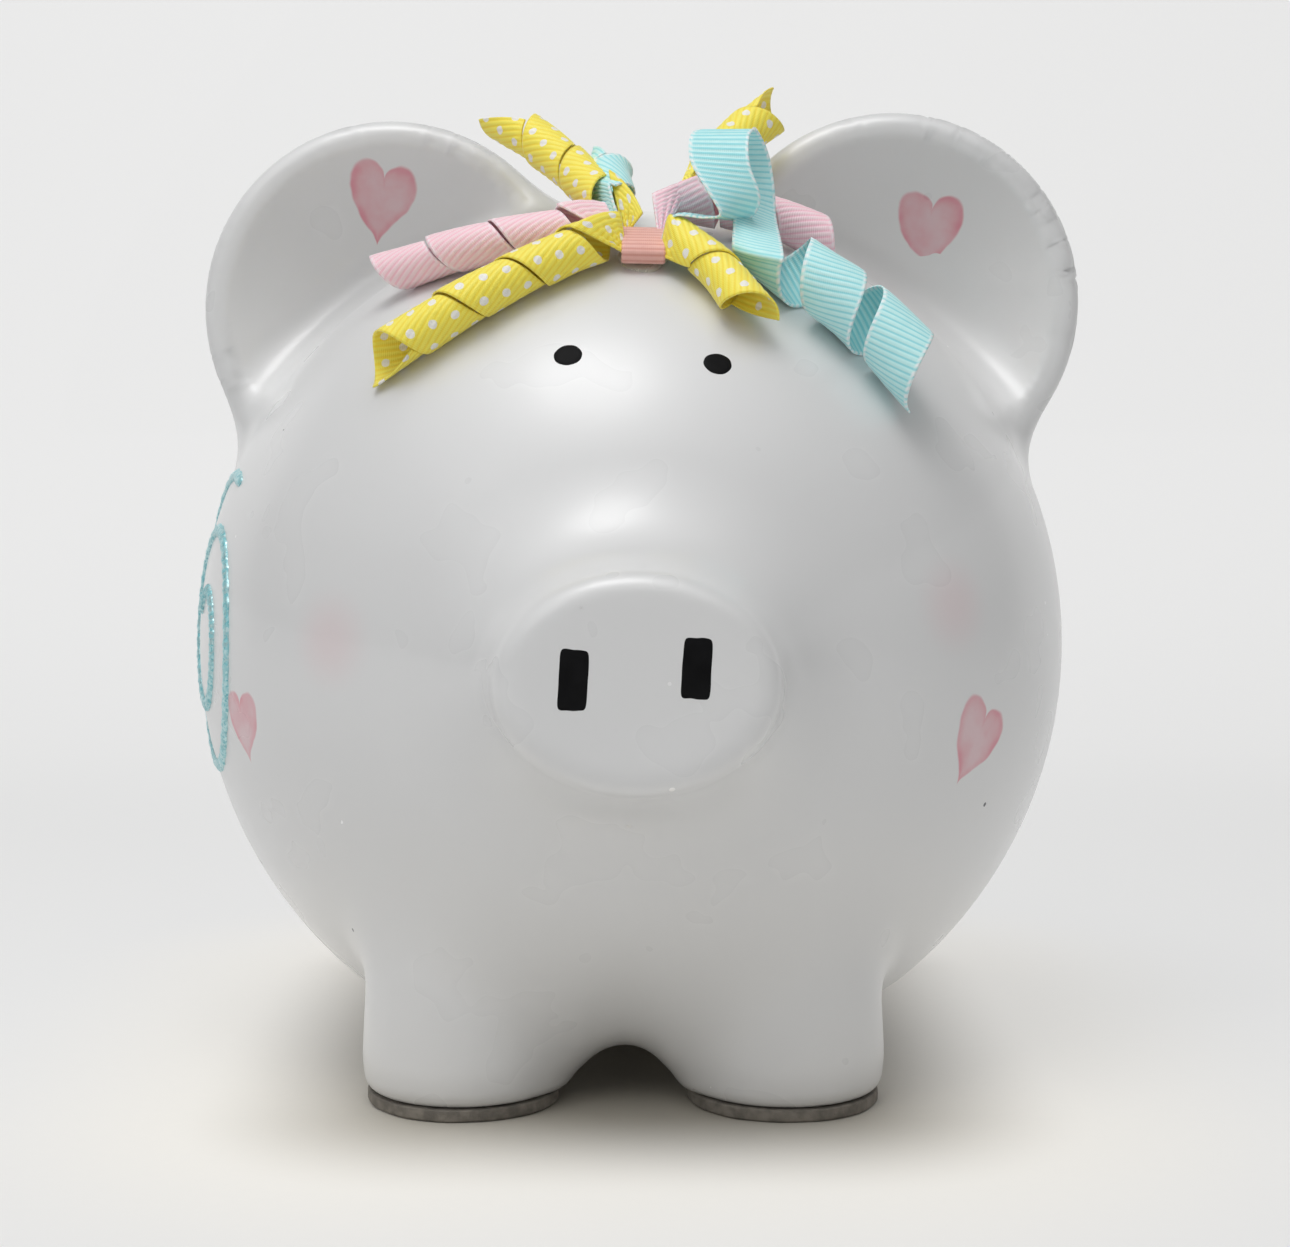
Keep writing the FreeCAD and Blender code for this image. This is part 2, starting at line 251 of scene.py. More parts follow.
def skin_distance(points):
    """Distance to the outside of the glazed pig, negative inside."""
    ball = np.linalg.norm(points - CENTRE, axis=1) - BODY_R
    skin = soft_max(ball, BELLY_Z - points[:, 2], 6 * MM)
    for x, z in EARS:
        skin = soft_min(skin, ear_distance(points, x, z), 10 * MM)
    skin = soft_min(skin, snout_distance(points), 17 * MM)
    inward = np.clip(1.25 - np.abs(points[:, 0] - LEGS_MIDDLE) / (27 * MM), 0.0, 1.0)
    for x, y in LEGS:
        skin = soft_min(skin, leg_distance(points, x, y), 6 * MM + 10 * MM * inward)
    near = points[:, 1] > 60 * MM
    if near.any():
        tail = np.full(len(points), 1.0)
        tail[near] = line_distance(points[near], TAIL) - TAIL_TUBE_R
        skin = soft_min(skin, tail, 5 * MM)
    skin = soft_max(skin, -slot_distance(points), 1.6 * MM)
    return soft_max(skin, -hole_distance(points), 1.0 * MM)


def slope(points, step=0.02 * MM):
    out = np.empty_like(points)
    for axis in range(3):
        shift = np.zeros(3)
        shift[axis] = step
        out[:, axis] = (skin_distance(points + shift) - skin_distance(points - shift)) / (2 * step)
    return out


def press_to_skin(piece, rounds, relax=0.0):
    """Draws every point on to the skin's surface, evening out the mesh between rounds."""
    mesh = piece.data
    edges = np.empty(len(mesh.edges) * 2, dtype=np.int64)
    mesh.edges.foreach_get("vertices", edges)
    edges = edges.reshape(-1, 2)
    points = points_of(piece)
    count = np.bincount(edges.ravel(), minlength=len(points))[:, None]
    for _ in range(rounds):
        gradient = slope(points)
        size = np.maximum((gradient ** 2).sum(axis=1, keepdims=True), 0.05)
        move = skin_distance(points)[:, None] * gradient / size
        length = np.linalg.norm(move, axis=1, keepdims=True)
        points = points - move * np.minimum(1.0, 1.0 * MM / np.maximum(length, 1e-9))
        if relax:
            total = np.zeros_like(points)
            np.add.at(total, edges[:, 0], points[edges[:, 1]])
            np.add.at(total, edges[:, 1], points[edges[:, 0]])
            pull = total / count - points
            normal = gradient / np.maximum(np.linalg.norm(gradient, axis=1, keepdims=True), 1e-9)
            points = points + relax * (pull - (pull * normal).sum(axis=1, keepdims=True) * normal)
    move_points(piece, points)


def drill(name, half_w, half_length, y, low, high):
    """A cutter with round ends, standing along Z."""
    deselect()
    straight = half_length - half_w
    bpy.ops.mesh.primitive_cylinder_add(
        vertices=48, radius=half_w, depth=high - low, location=(0, y, (low + high) / 2)
    )
    cutter = settle(named(name))
    points = points_of(cutter)
    points[:, 1] += np.where(points[:, 1] > y, straight, -straight)
    move_points(cutter, points)
    return cutter


def cut_away(piece, cutter):
    apply_modifier(piece, "BOOLEAN", object=cutter, operation="DIFFERENCE", solver="MANIFOLD")
    bpy.data.objects.remove(cutter)


def rough_ear(x, z):
    """A ball pressed flat to the ear's wall, then dished."""
    deselect()
    bpy.ops.mesh.primitive_uv_sphere_add(segments=64, ring_count=40, radius=EAR_R)
    ear = bpy.context.object
    points = points_of(ear) / EAR_R
    across = np.minimum(np.hypot(points[:, 0], points[:, 1]), 1.0)
    half_wall = EAR_WALL / 2 * np.sqrt(np.maximum(1 - across ** 8, 0.0)) * np.sign(points[:, 2])
    dish = EAR_DEPTH * (1 - across ** 2)
    move_points(
        ear, np.stack([x + EAR_R * points[:, 0], EAR_Y + dish - half_wall, z + EAR_R * points[:, 1]], axis=1)
    )
    return ear


def rough_tail():
    curve = bpy.data.curves.new("tail_line", "CURVE")
    curve.dimensions = "3D"
    curve.bevel_depth = TAIL_TUBE_R
    curve.use_fill_caps = True
    spline = curve.splines.new("POLY")
    spline.points.add(len(TAIL) - 1)
    for point, place in zip(spline.points, TAIL):
        point.co = (*place, 1.0)
    holder = bpy.data.objects.new("tail_rough", curve)
    bpy.context.collection.objects.link(holder)
    only(holder)
    bpy.ops.object.convert(target="MESH")
    return bpy.context.object


def rough_ball(radius, belly_z, name):
    deselect()
    bpy.ops.mesh.primitive_uv_sphere_add(segments=96, ring_count=64, radius=radius, location=CENTRE)
    ball = settle(named(name))
    bpy.ops.object.mode_set(mode="EDIT")
    bpy.ops.mesh.select_all(action="SELECT")
    bpy.ops.mesh.bisect(plane_co=(0, 0, belly_z), plane_no=(0, 0, -1), clear_outer=True, use_fill=True)
    bpy.ops.object.mode_set(mode="OBJECT")
    return ball


def rough_snout(inset):
    deselect()
    depth = 50 * MM
    bpy.ops.mesh.primitive_cylinder_add(
        vertices=64, radius=1.0, depth=depth, location=(SNOUT_X, SNOUT_Y + inset + depth / 2, CENTRE[2]),
        rotation=(math.pi / 2, 0, 0),
    )
    snout = bpy.context.object
    snout.scale = (SNOUT_HALF[0] - inset, SNOUT_HALF[1] - inset, 1.0)
    return settle(snout)


def rough_legs(inset):
    legs = []
    depth = 42 * MM
    for x, y in LEGS:
        deselect()
        bpy.ops.mesh.primitive_cylinder_add(
            vertices=48, radius=16.5 * MM - inset, depth=depth, location=(x, y, FOOT_Z + inset + depth / 2)
        )
        legs.append(settle(bpy.context.object))
    return legs


def refine(piece, bend):
    """Cuts finer the faces where the surface bends by more than an angle from face to face."""
    only(piece)
    bpy.ops.object.mode_set(mode="EDIT")
    bpy.ops.mesh.select_mode(type="EDGE")
    bpy.ops.mesh.select_all(action="DESELECT")
    mesh = bmesh.from_edit_mesh(piece.data)
    for edge in mesh.edges:
        if len(edge.link_faces) == 2 and edge.calc_face_angle(0.0) > bend:
            for face in edge.link_faces:
                face.select_set(True)
    bmesh.update_edit_mesh(piece.data)
    bpy.ops.mesh.subdivide(number_cuts=1)
    bpy.ops.object.mode_set(mode="OBJECT")


def glazed_pig():
    """The shell, ears and tail under one glaze: rough primitives, melted together and pressed smooth."""
    parts = [rough_ball(BODY_R, BELLY_Z, "glazed_pig"), rough_snout(0.0), rough_tail()] + rough_legs(0.0)
    parts += [rough_ear(x, z) for x, z in EARS]
    pig = joined(parts, "glazed_pig")
    apply_modifier(pig, "REMESH", mode="VOXEL", voxel_size=2.0 * MM)
    top, belly = CENTRE[2] + BODY_R, BELLY_Z
    cut_away(
        pig, drill("slot_cutter", SLOT_HALF_W, SLOT_HALF_LENGTH, SLOT_Y, CENTRE[2] + 45 * MM, top + 10 * MM)
    )
    cut_away(pig, drill("hole_cutter", HOLE_R, HOLE_R, 0.0, belly - 10 * MM, belly + 12 * MM))
    apply_modifier(pig, "REMESH", mode="VOXEL", voxel_size=1.5 * MM)
    press_to_skin(pig, 10, relax=0.4)
    refine(pig, math.radians(14))
    press_to_skin(pig, 6, relax=0.3)
    press_to_skin(pig, 2)
    hollow = [rough_ball(BODY_R - WALL, BELLY_Z + WALL, "cavity"), rough_snout(WALL)] + rough_legs(WALL)
    cavity = joined(hollow, "cavity")
    apply_modifier(cavity, "REMESH", mode="VOXEL", voxel_size=3.0 * MM)
    apply_modifier(cavity, "SMOOTH", factor=0.5, iterations=4)
    cut_away(pig, cavity)
    shade_smooth(pig)
    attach(pig, BODY)
    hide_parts("body_shell", "left_ear", "right_ear", "tail")
    return pig



# --- pieces turned on an axis and painted marks ---
def gridded(name, around, along, place):
    """A grid primitive whose points are set by place(u, v), with u and v from 0 to 1."""
    deselect()
    bpy.ops.mesh.primitive_grid_add(x_subdivisions=around, y_subdivisions=along, size=1.0)
    piece = settle(named(name))
    points = points_of(piece)
    u, v = points[:, 0] + 0.5, points[:, 1] + 0.5
    move_points(piece, place(u, v))
    only(piece)
    bpy.ops.object.mode_set(mode="EDIT")
    bpy.ops.mesh.select_all(action="SELECT")
    bpy.ops.mesh.remove_doubles(threshold=1e-6)
    bpy.ops.mesh.dissolve_degenerate(threshold=1e-7)
    bpy.ops.mesh.normals_make_consistent(inside=False)
    bpy.ops.object.mode_set(mode="OBJECT")
    return piece


def along_profile(profile, v):
    """Points spread evenly by number along a profile of (radius, height), by straight lines."""
    profile = np.array(profile)
    at = v * (len(profile) - 1)
    return np.stack([np.interp(at, np.arange(len(profile)), profile[:, k]) for k in (0, 1)])


def rounded(profile, radius, steps=5):
    """A profile of (radius, height) with its inner corners cut to arcs of about one radius."""
    out = [np.array(profile[0])]
    for before, corner, after in zip(profile[:-2], profile[1:-1], profile[2:]):
        before, corner, after = np.array(before), np.array(corner), np.array(after)
        reach = min(radius, np.linalg.norm(before - corner) * 0.45, np.linalg.norm(after - corner) * 0.45)
        start = corner + (before - corner) / np.linalg.norm(before - corner) * reach
        end = corner + (after - corner) / np.linalg.norm(after - corner) * reach
        for t in np.linspace(0, 1, steps):
            out.append((1 - t) ** 2 * start + 2 * t * (1 - t) * corner + t ** 2 * end)
    out.append(np.array(profile[-1]))
    return out


def turned(name, profile, middle, segments=72):
    """A solid of revolution about Z, from a profile of (radius, height) in metres."""
    def place(u, v):
        r, z = along_profile(profile, v)
        angle = 2 * np.pi * u
        return np.stack([middle[0] + r * np.cos(angle), middle[1] + r * np.sin(angle), z], axis=1)

    piece = gridded(name, segments, len(profile) - 1, place)
    shade_smooth(piece)
    return piece


def to_level(points, level):
    """Draws points to a height over the glaze."""
    points = points.copy()
    for _ in range(6):
        gradient = slope(points)
        points -= (
            (skin_distance(points) - level)[:, None] * gradient
            / np.maximum((gradient ** 2).sum(1), 0.05)[:, None]
        )
    return points


def painted_spot(name, middle, half_w, half_h, lean, square, thick, facing):
    """A spot of thick enamel on the glaze: round, or with straight sides where square is high."""
    middle, facing = np.array(middle), np.array(facing) / np.linalg.norm(facing)
    across = np.cross([0.0, 0.0, 1.0], facing)
    across = -across / np.linalg.norm(across)
    up = np.cross(facing, across)
    up = up if up[2] > 0 else -up

    def place(u, v):
        angle = 2 * np.pi * u
        c, s = np.cos(angle), np.sin(angle)
        r = v / (np.abs(c) ** square + np.abs(s) ** square) ** (1 / square)
        wobble = 1 + 0.012 * np.sin(3 * angle + middle[0] * 900) + 0.008 * np.sin(7 * angle + 1.0)
        x, y = half_w * r * c * wobble, half_h * r * s * wobble
        x, y = x * math.cos(lean) - y * math.sin(lean), x * math.sin(lean) + y * math.cos(lean)
        flat = middle + x[:, None] * across + y[:, None] * up
        height = thick * (1 - v ** 6) - 0.06 * MM * v ** 6
        return to_level(flat, height)

    spot = gridded(name, 96, 20, place)
    shade_smooth(spot)
    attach(spot, BODY)
    return spot


def glitter_line(name, path, radius):
    """A raised bead of glitter paint laid on the glaze along a path of (y, z) on the pig's right side."""
    line = catmull([np.array([-0.8 * BODY_R, y * MM, z * MM]) for y, z in path], 14)
    line = to_level(line, 0.0)
    out = slope(line)
    out /= np.linalg.norm(out, axis=1)[:, None]
    along = np.gradient(line, axis=0)
    along /= np.linalg.norm(along, axis=1)[:, None]
    side = np.cross(out, along)

    def place(u, v):
        at = v * (len(line) - 1)
        k = np.clip(np.round(at).astype(int), 0, len(line) - 1)
        end = np.minimum(np.minimum(k, len(line) - 1 - k) / 4.0, 1.0)
        r = radius * np.sqrt(1 - (1 - end) ** 2) * (1 + 0.10 * np.sin(at * 0.9) + 0.07 * np.sin(at * 2.3 + 1))
        angle = 2 * np.pi * u
        offset = np.cos(angle)[:, None] * side[k] + (0.62 * np.sin(angle) - 0.1)[:, None] * out[k]
        return line[k] + r[:, None] * offset

    bead = gridded(name, 16, len(line) - 1, place)
    shade_smooth(bead)
    return bead


# --- the ribbon bow ---
def catmull(rows, steps):
    """A smooth run of rows through the given ones; each row is an array of any shape."""
    rows = [2 * rows[0] - rows[1]] + list(rows) + [2 * rows[-1] - rows[-2]]
    out = []
    for a, b, c, d in zip(rows[:-3], rows[1:-2], rows[2:-1], rows[3:]):
        for t in np.arange(steps) / steps:
            out.append(0.5 * (
                2 * b + (c - a) * t + (2 * a - 5 * b + 4 * c - d) * t * t + (3 * b - a - 3 * c + d) * t ** 3
            ))
    out.append(rows[-2])
    return np.array(out)


BOW_SEAT = np.array([2.0 * MM, -43.0 * MM, 0.0])
BOW_SEAT[2] = CENTRE[2] + math.sqrt(BODY_R ** 2 - BOW_SEAT[0] ** 2 - BOW_SEAT[1] ** 2)
OUT = (BOW_SEAT - CENTRE) / BODY_R
ACROSS = np.array([1.0, 0.0, 0.0]) - OUT * OUT[0]
ACROSS /= np.linalg.norm(ACROSS)
UP_HEAD = np.cross(OUT, ACROSS)
RIBBON_HALF = 5 * MM
RIBBON_T = 0.32 * MM
RIB_PITCH = 1.0 * MM
RIB_HEIGHT = 0.07 * MM
THREADS_ACROSS = 24
ACROSS_STATIONS = np.linspace(-RIBBON_HALF, RIBBON_HALF, THREADS_ACROSS + 1)
BAND_MID = 2.5 * MM
GATHER_PITCH = 1.85 * MM


def from_head(across, up, out):
    return BOW_SEAT + (ACROSS * across + UP_HEAD * up + OUT * out) * MM


def over_head(across, up, lift):
    """A point over the head at a height, in millimetres across and up from the bow's seat."""
    out = math.sqrt((BODY_R / MM + lift) ** 2 - across ** 2 - up ** 2) - BODY_R / MM
    return from_head(across, up, out)


def gather_row(across, level, spread=0.62, deep=0.55):
    """The ribbon folded in pleats where the thread gathers it."""
    share = ACROSS_STATIONS / RIBBON_HALF
    pleat = 2 / np.pi * np.arcsin(np.sin(4 * np.pi * share + level))
    up = (level - 1.5) * GATHER_PITCH / MM + spread * share
    return from_head(across, 0, BAND_MID / MM) + (UP_HEAD * up[:, None] + OUT * (deep * pleat)[:, None]) * MM


def flat_row(middle, width_way, cup=0.0):
    """The ribbon laid straight across, cupped a little over its width."""
    width_way = np.array(width_way, dtype=float)
    width_way /= np.linalg.norm(width_way)
    share = ACROSS_STATIONS / RIBBON_HALF
    row = np.array(middle) * MM + ACROSS_STATIONS[:, None] * width_way
    return row + np.array([0.0, 0.0, cup * MM]) * (share ** 2)[:, None]


def coil_rows(axis_points, radius, pitch, phase, hand=1, flip=False, flare=0.25, step=18):
    """Rows of a ribbon wound on a round bar along a line of points; phase turns its start about the bar."""
    line = catmull([np.array(p) for p in axis_points], 24)
    gaps = np.linalg.norm(np.diff(line, axis=0), axis=1)
    run = np.concatenate([[0.0], np.cumsum(gaps)])
    along = np.gradient(line, axis=0)
    along /= np.linalg.norm(along, axis=1)[:, None]
    normal = OUT - along[0] * (OUT @ along[0])
    normals = []
    for t in along:
        normal = normal - t * (normal @ t)
        normal = normal / np.linalg.norm(normal)
        normals.append(normal)
    normals = np.array(normals)
    radius, pitch, flare = radius * MM, pitch * MM, flare * MM
    lean = math.atan2(pitch, 2 * math.pi * radius)
    length = run[-1] / math.sin(lean)
    cross = -ACROSS_STATIONS if flip else ACROSS_STATIONS
    rows = []
    for reach in np.arange(0.0, length, radius * math.radians(step) / math.cos(lean)):
        a = reach * math.sin(lean) + cross * math.cos(lean)
        angle = math.radians(phase) + hand * (reach * math.cos(lean) - cross * math.sin(lean)) / radius
        middle = np.stack([np.interp(a, run, line[:, k]) for k in range(3)], axis=1)
        t = np.stack([np.interp(a, run, along[:, k]) for k in range(3)], axis=1)
        n = np.stack([np.interp(a, run, normals[:, k]) for k in range(3)], axis=1)
        middle += t * (np.minimum(a, 0.0) + np.maximum(a - run[-1], 0.0))[:, None]
        b = np.cross(t, n)
        wander = 1.0 + 0.03 * math.sin(reach / (9 * MM) + phase)
        r = radius * wander + flare * cross / RIBBON_HALF
        rows.append(middle + (np.cos(angle) * r)[:, None] * n + (np.sin(angle) * r)[:, None] * b)
    return rows


def ribbon(name, rows, step=0.25 * MM, thick=RIBBON_T):
    """A ribbed ribbon through rows of points, as a sheet with its length and width in its UV map."""
    fine = catmull(rows, 10)
    middle = fine[:, len(fine[0]) // 2]
    run = np.concatenate([[0.0], np.cumsum(np.linalg.norm(np.diff(middle, axis=0), axis=1))])
    count = int(run[-1] / step)
    at = np.linspace(0.0, run[-1], count + 1)
    flat = fine.reshape(len(fine), -1)
    grid = np.stack(
        [np.interp(at, run, flat[:, k]) for k in range(flat.shape[1])], axis=1
    ).reshape(count + 1, -1, 3)
    face = np.cross(np.gradient(grid, axis=0), np.gradient(grid, axis=1))
    face /= np.maximum(np.linalg.norm(face, axis=2, keepdims=True), 1e-12)
    rib = RIB_HEIGHT * np.cos(2 * np.pi * at / RIB_PITCH)
    share = np.abs(np.linspace(-1, 1, grid.shape[1]))
    rib = rib[:, None] * (share < 0.86)[None, :]
    grid = grid + face * rib[:, :, None]
    n, m = grid.shape[:2]
    index = np.arange(n * m).reshape(n, m)
    quads = np.stack([index[:-1, :-1], index[1:, :-1], index[1:, 1:], index[:-1, 1:]], axis=-1).reshape(-1, 4)
    mesh = bpy.data.meshes.new(name)
    mesh.from_pydata(grid.reshape(-1, 3).tolist(), [], quads.tolist())
    uv = mesh.uv_layers.new(name="ribbon")
    across = np.linspace(-RIBBON_HALF, RIBBON_HALF, m)
    loops = np.empty(len(mesh.loops), dtype=np.int64)
    mesh.loops.foreach_get("vertex_index", loops)
    uv.data.foreach_set(
        "uv", np.stack([at[loops // m], across[loops % m]], axis=1).astype(np.float32).ravel()
    )
    piece = bpy.data.objects.new(name, mesh)
    bpy.context.collection.objects.link(piece)
    apply_modifier(piece, "SOLIDIFY", thickness=thick, offset=0.0)
    shade_smooth(piece)
    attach(piece, BODY)
    return piece


def both_ends(left, level, right):
    """Rows of one whole ribbon: its left end from the tip in, the gather, and its right end out."""
    middle = [gather_row(across, level) for across in (-2.6, -0.9, 0.9, 2.6)]
    return left[::-1] + middle + right


def lying(places, radius, gap=0.5):
    return [over_head(across, up, lift + radius + gap) for across, up, lift in places]


BAND_HALF = 3.3
BAND_FOLD_R = 0.2


def make_bow():
    bow = {}
    left = coil_rows(
        lying([(-6.6, -1.9, 0.6), (-14, -5.0, 0.2), (-28.0, -12.4, 0.1), (-42.6, -17.6, 0.1)], 3.6),
        3.6, 11.6, 20, flip=True,
    )
    right = coil_rows(
        lying([(7.2, -2.2, 0.5), (12.7, -9.1, 0.1), (17.0, -17.0, 0.1)], 3.4),
        3.4, 11.4, 60, hand=-1, flip=True,
    )
    bow["yellow_ribbon_front"] = ribbon("yellow_ribbon_front_dressed", both_ends(left, 0, right))

    left = coil_rows(
        lying([(-8.6, 4.7, 0.8), (-20.0, 5.2, 0.1), (-30.0, 6.2, 0.1), (-42.4, 10.0, 0.1)], 3.4),
        3.4, 12.0, 40, flip=True,
    )
    right = coil_rows(
        lying([(4.0, 13.0, 1.8), (13, 16.4, 0.8), (23.0, 18.2, 0.3), (33.0, 16.4, 0.1)], 3.7),
        3.7, 12.4, 30,
    )
    bow["pink_ribbon"] = ribbon("pink_ribbon_dressed", both_ends(left, 2, right))

    left = coil_rows(
        lying([(-5.2, 7.4, 2.6), (-10.0, 17.0, 4.0), (-16.4, 27.0, 8.4), (-23.6, 35.0, 13.6)], 3.6),
        3.6, 12.4, 60, flip=True,
    )
    right = coil_rows(
        lying([(9.5, 22.0, 5.0), (14.0, 29.0, 8.0), (18.6, 35.0, 12.4), (23.6, 40.5, 17.0)], 3.6),
        3.7, 12.4, 0,
    )
    bow["yellow_ribbon_back"] = ribbon("yellow_ribbon_back_dressed", both_ends(left, 3, right))

    left = coil_rows(
        lying([(-5.0, 13.0, 2.2), (-6.2, 20.0, 3.6), (-5.4, 26.5, 5.0)], 3.8),
        3.8, 13.0, -60, flip=True,
    )
    right = [
        flat_row((7.0, -42.5, 149.6), (0.05, 0.97, 0.14)),
        flat_row((12.6, -43.5, 149.4), (0.10, 0.97, 0.14)),
        flat_row((17.0, -45.5, 149.2), (0.45, 0.85, 0.0)),
        flat_row((17.0, -47.5, 152.6), (0.88, 0.40, -0.10)),
        flat_row((14.8, -46.5, 158.0), (0.97, 0.10, -0.05)),
        flat_row((14.9, -43.6, 162.8), (0.97, 0.10, 0.02)),
        flat_row((16.8, -39.0, 164.2), (0.94, 0.30, 0.05)),
        flat_row((19.0, -35.6, 161.2), (0.88, 0.42, 0.05)),
        flat_row((20.4, -35.2, 156.2), (0.80, 0.52, 0.0)),
        flat_row((21.0, -38.5, 151.2), (0.74, 0.60, -0.2)),
    ]
    coil = coil_rows(
        lying([(21.4, -2.0, 0.5), (28.4, -7.6, 0.1), (36.4, -12.0, 0.1), (45.0, -19.0, 0.1)], 5.4),
        5.4, 14.2, 70,
    )
    bow["aqua_ribbon"] = ribbon("aqua_ribbon_dressed", both_ends(left, 1, right + coil))
    return bow


def make_band():
    """A 10 mm salmon ribbon, both edges turned under, wrapped once round the gathered ribbons."""
    reach = np.linspace(-RIBBON_HALF, RIBBON_HALF, 61) / MM
    beyond = np.maximum(np.abs(reach) - BAND_HALF, 0.0)
    arc = np.minimum(beyond, math.pi * BAND_FOLD_R)
    turned = arc / BAND_FOLD_R
    across = np.sign(reach) * (
        np.minimum(np.abs(reach), BAND_HALF) + BAND_FOLD_R * np.sin(turned) - (beyond - arc)
    )
    inset = BAND_FOLD_R * (1 - np.cos(turned))
    rows = []
    for turn in np.linspace(0.0, 2 * np.pi, 29):
        angle = turn - math.pi / 2
        c, s = math.cos(angle), math.sin(angle)
        corner = 1 / (abs(c) ** 3.2 + abs(s) ** 3.2) ** (1 / 3.2)
        up = (4.35 + 0.12 * math.sin(3 * turn) - inset) * c * corner
        out = BAND_MID / MM + (1.75 - inset) * s * corner
        rows.append(BOW_SEAT + (ACROSS * across[:, None] + UP_HEAD * up[:, None] + OUT * out[:, None]) * MM)
    return ribbon("centre_band_dressed", rows)



# --- floor and light ---
def add_floor():
    """A pale floor that sweeps up behind the pig."""
    deselect()
    half, back, bend = 1.6, 0.9, 0.45
    bpy.ops.mesh.primitive_plane_add(size=2 * half)
    floor = settle(named("pale_floor"))
    bpy.ops.object.mode_set(mode="EDIT")
    bpy.ops.mesh.select_all(action="SELECT")
    bpy.ops.mesh.subdivide(number_cuts=63)
    bpy.ops.object.mode_set(mode="OBJECT")
    points = points_of(floor)
    run = points[:, 1] - (back - bend)
    turn = np.clip(run / bend, 0.0, math.pi / 2)
    flat = np.minimum(points[:, 1], back - bend)
    up = np.maximum(run - bend * math.pi / 2, 0.0)
    points[:, 2] = bend * (1 - np.cos(turn)) + up
    points[:, 1] = flat + bend * np.sin(turn)
    move_points(floor, points)
    shade_smooth(floor)
    return floor


def add_light(name, kind, place, energy, size, aim=None, colour=(1.0, 1.0, 1.0)):
    deselect()
    bpy.ops.object.light_add(type=kind, location=place)
    light = named(name)
    light.data.energy = energy
    light.data.color = colour
    if kind == "AREA":
        light.data.shape = "ELLIPSE"
        light.data.size, light.data.size_y = size
    target = Vector(CENTRE if aim is None else aim)
    light.rotation_euler = (Vector(place) - target).to_track_quat("Z", "Y").to_euler()
    return light


def dress(piece, material):
    piece.data.materials.clear()
    piece.data.materials.append(material)


# --- materials ---
def tone(red, green, blue):
    """A colour given as display values from 0 to 255."""
    return tuple(
        ((c / 255 + 0.055) / 1.055) ** 2.4 if c > 10 else c / 3295 for c in (red, green, blue)
    ) + (1.0,)


class Paint:
    """One material's nodes; a value given to a node is a number, a tuple or another node's output."""

    def __init__(self, name):
        self.material = bpy.data.materials.new(name)
        self.material.use_nodes = True
        self.tree = self.material.node_tree
        self.shader = self.tree.nodes["Principled BSDF"]
        self.where = self.node("TexCoord").outputs["Object"]

    def give(self, socket, value):
        if isinstance(value, bpy.types.NodeSocket):
            self.tree.links.new(value, socket)
        else:
            socket.default_value = value

    def node(self, kind, values=(), **settings):
        node = self.tree.nodes.new("ShaderNode" + kind)
        for key, value in settings.items():
            setattr(node, key, value)
        for key, value in dict(values).items():
            self.give(node.inputs[key], value)
        return node

    def math(self, operation, *values):
        return self.node("Math", enumerate(values), operation=operation).outputs[0]

    def vector(self, operation, *values):
        node = self.node("VectorMath", enumerate(values), operation=operation)
        return node.outputs["Value" if operation in ("DOT_PRODUCT", "LENGTH", "DISTANCE") else "Vector"]

    def ramp(self, value, low, high, start=0.0, end=1.0):
        """Value carried from low..high to start..end, smoothly and without overshoot."""
        values = {"Value": value, "From Min": low, "From Max": high, "To Min": start, "To Max": end}
        return self.node("MapRange", values, interpolation_type="SMOOTHSTEP").outputs[0]

    def noise(self, scale, detail=2.0, vector=None):
        values = {"Vector": self.where if vector is None else vector, "Scale": scale, "Detail": detail}
        return self.node("TexNoise", values).outputs[0]

    def mix(self, share, first, second, blend="MIX"):
        node = self.node("Mix", data_type="RGBA", blend_type=blend)
        self.give(node.inputs[0], share)
        self.give(node.inputs[6], first)
        self.give(node.inputs[7], second)
        return node.outputs[2]

    def bump(self, height, strength, distance):
        values = {"Height": height, "Strength": strength, "Distance": distance}
        self.give(self.shader.inputs["Normal"], self.node("Bump", values).outputs[0])

    def surface(self, **values):
        for key, value in values.items():
            self.give(self.shader.inputs[key.replace("_", " ")], value)
        return self.material


# Each heart: middle, the way its paint faces, half width, and how far it leans, in degrees.
HEARTS = (
    ((-46.6, -2.0, 155.0), (0.1, -1.0, 0.1), 6.0, -8.0),
    ((55.2, -2.0, 150.4), (-0.15, -1.0, 0.15), 6.0, -6.0),
    ((-65.6, -44.0, 62.2), (-0.82, -0.55, -0.16), 5.6, 4.0),
    ((56.3, -55.0, 60.6), (0.70, -0.69, -0.18), 6.6, -24.0),
    ((-28.0, 71.0, 96.0), (-0.35, 0.90, 0.26), 6.2, 12.0),
    ((38.0, 66.0, 60.0), (0.48, 0.84, -0.2), 5.6, -14.0),
    ((74.0, 14.0, 95.0), (0.92, 0.18, 0.26), 6.2, 10.0),
)
BLUSHES = ((-48.4, -63.5, 79.8), (52.6, -59.4, 85.2))


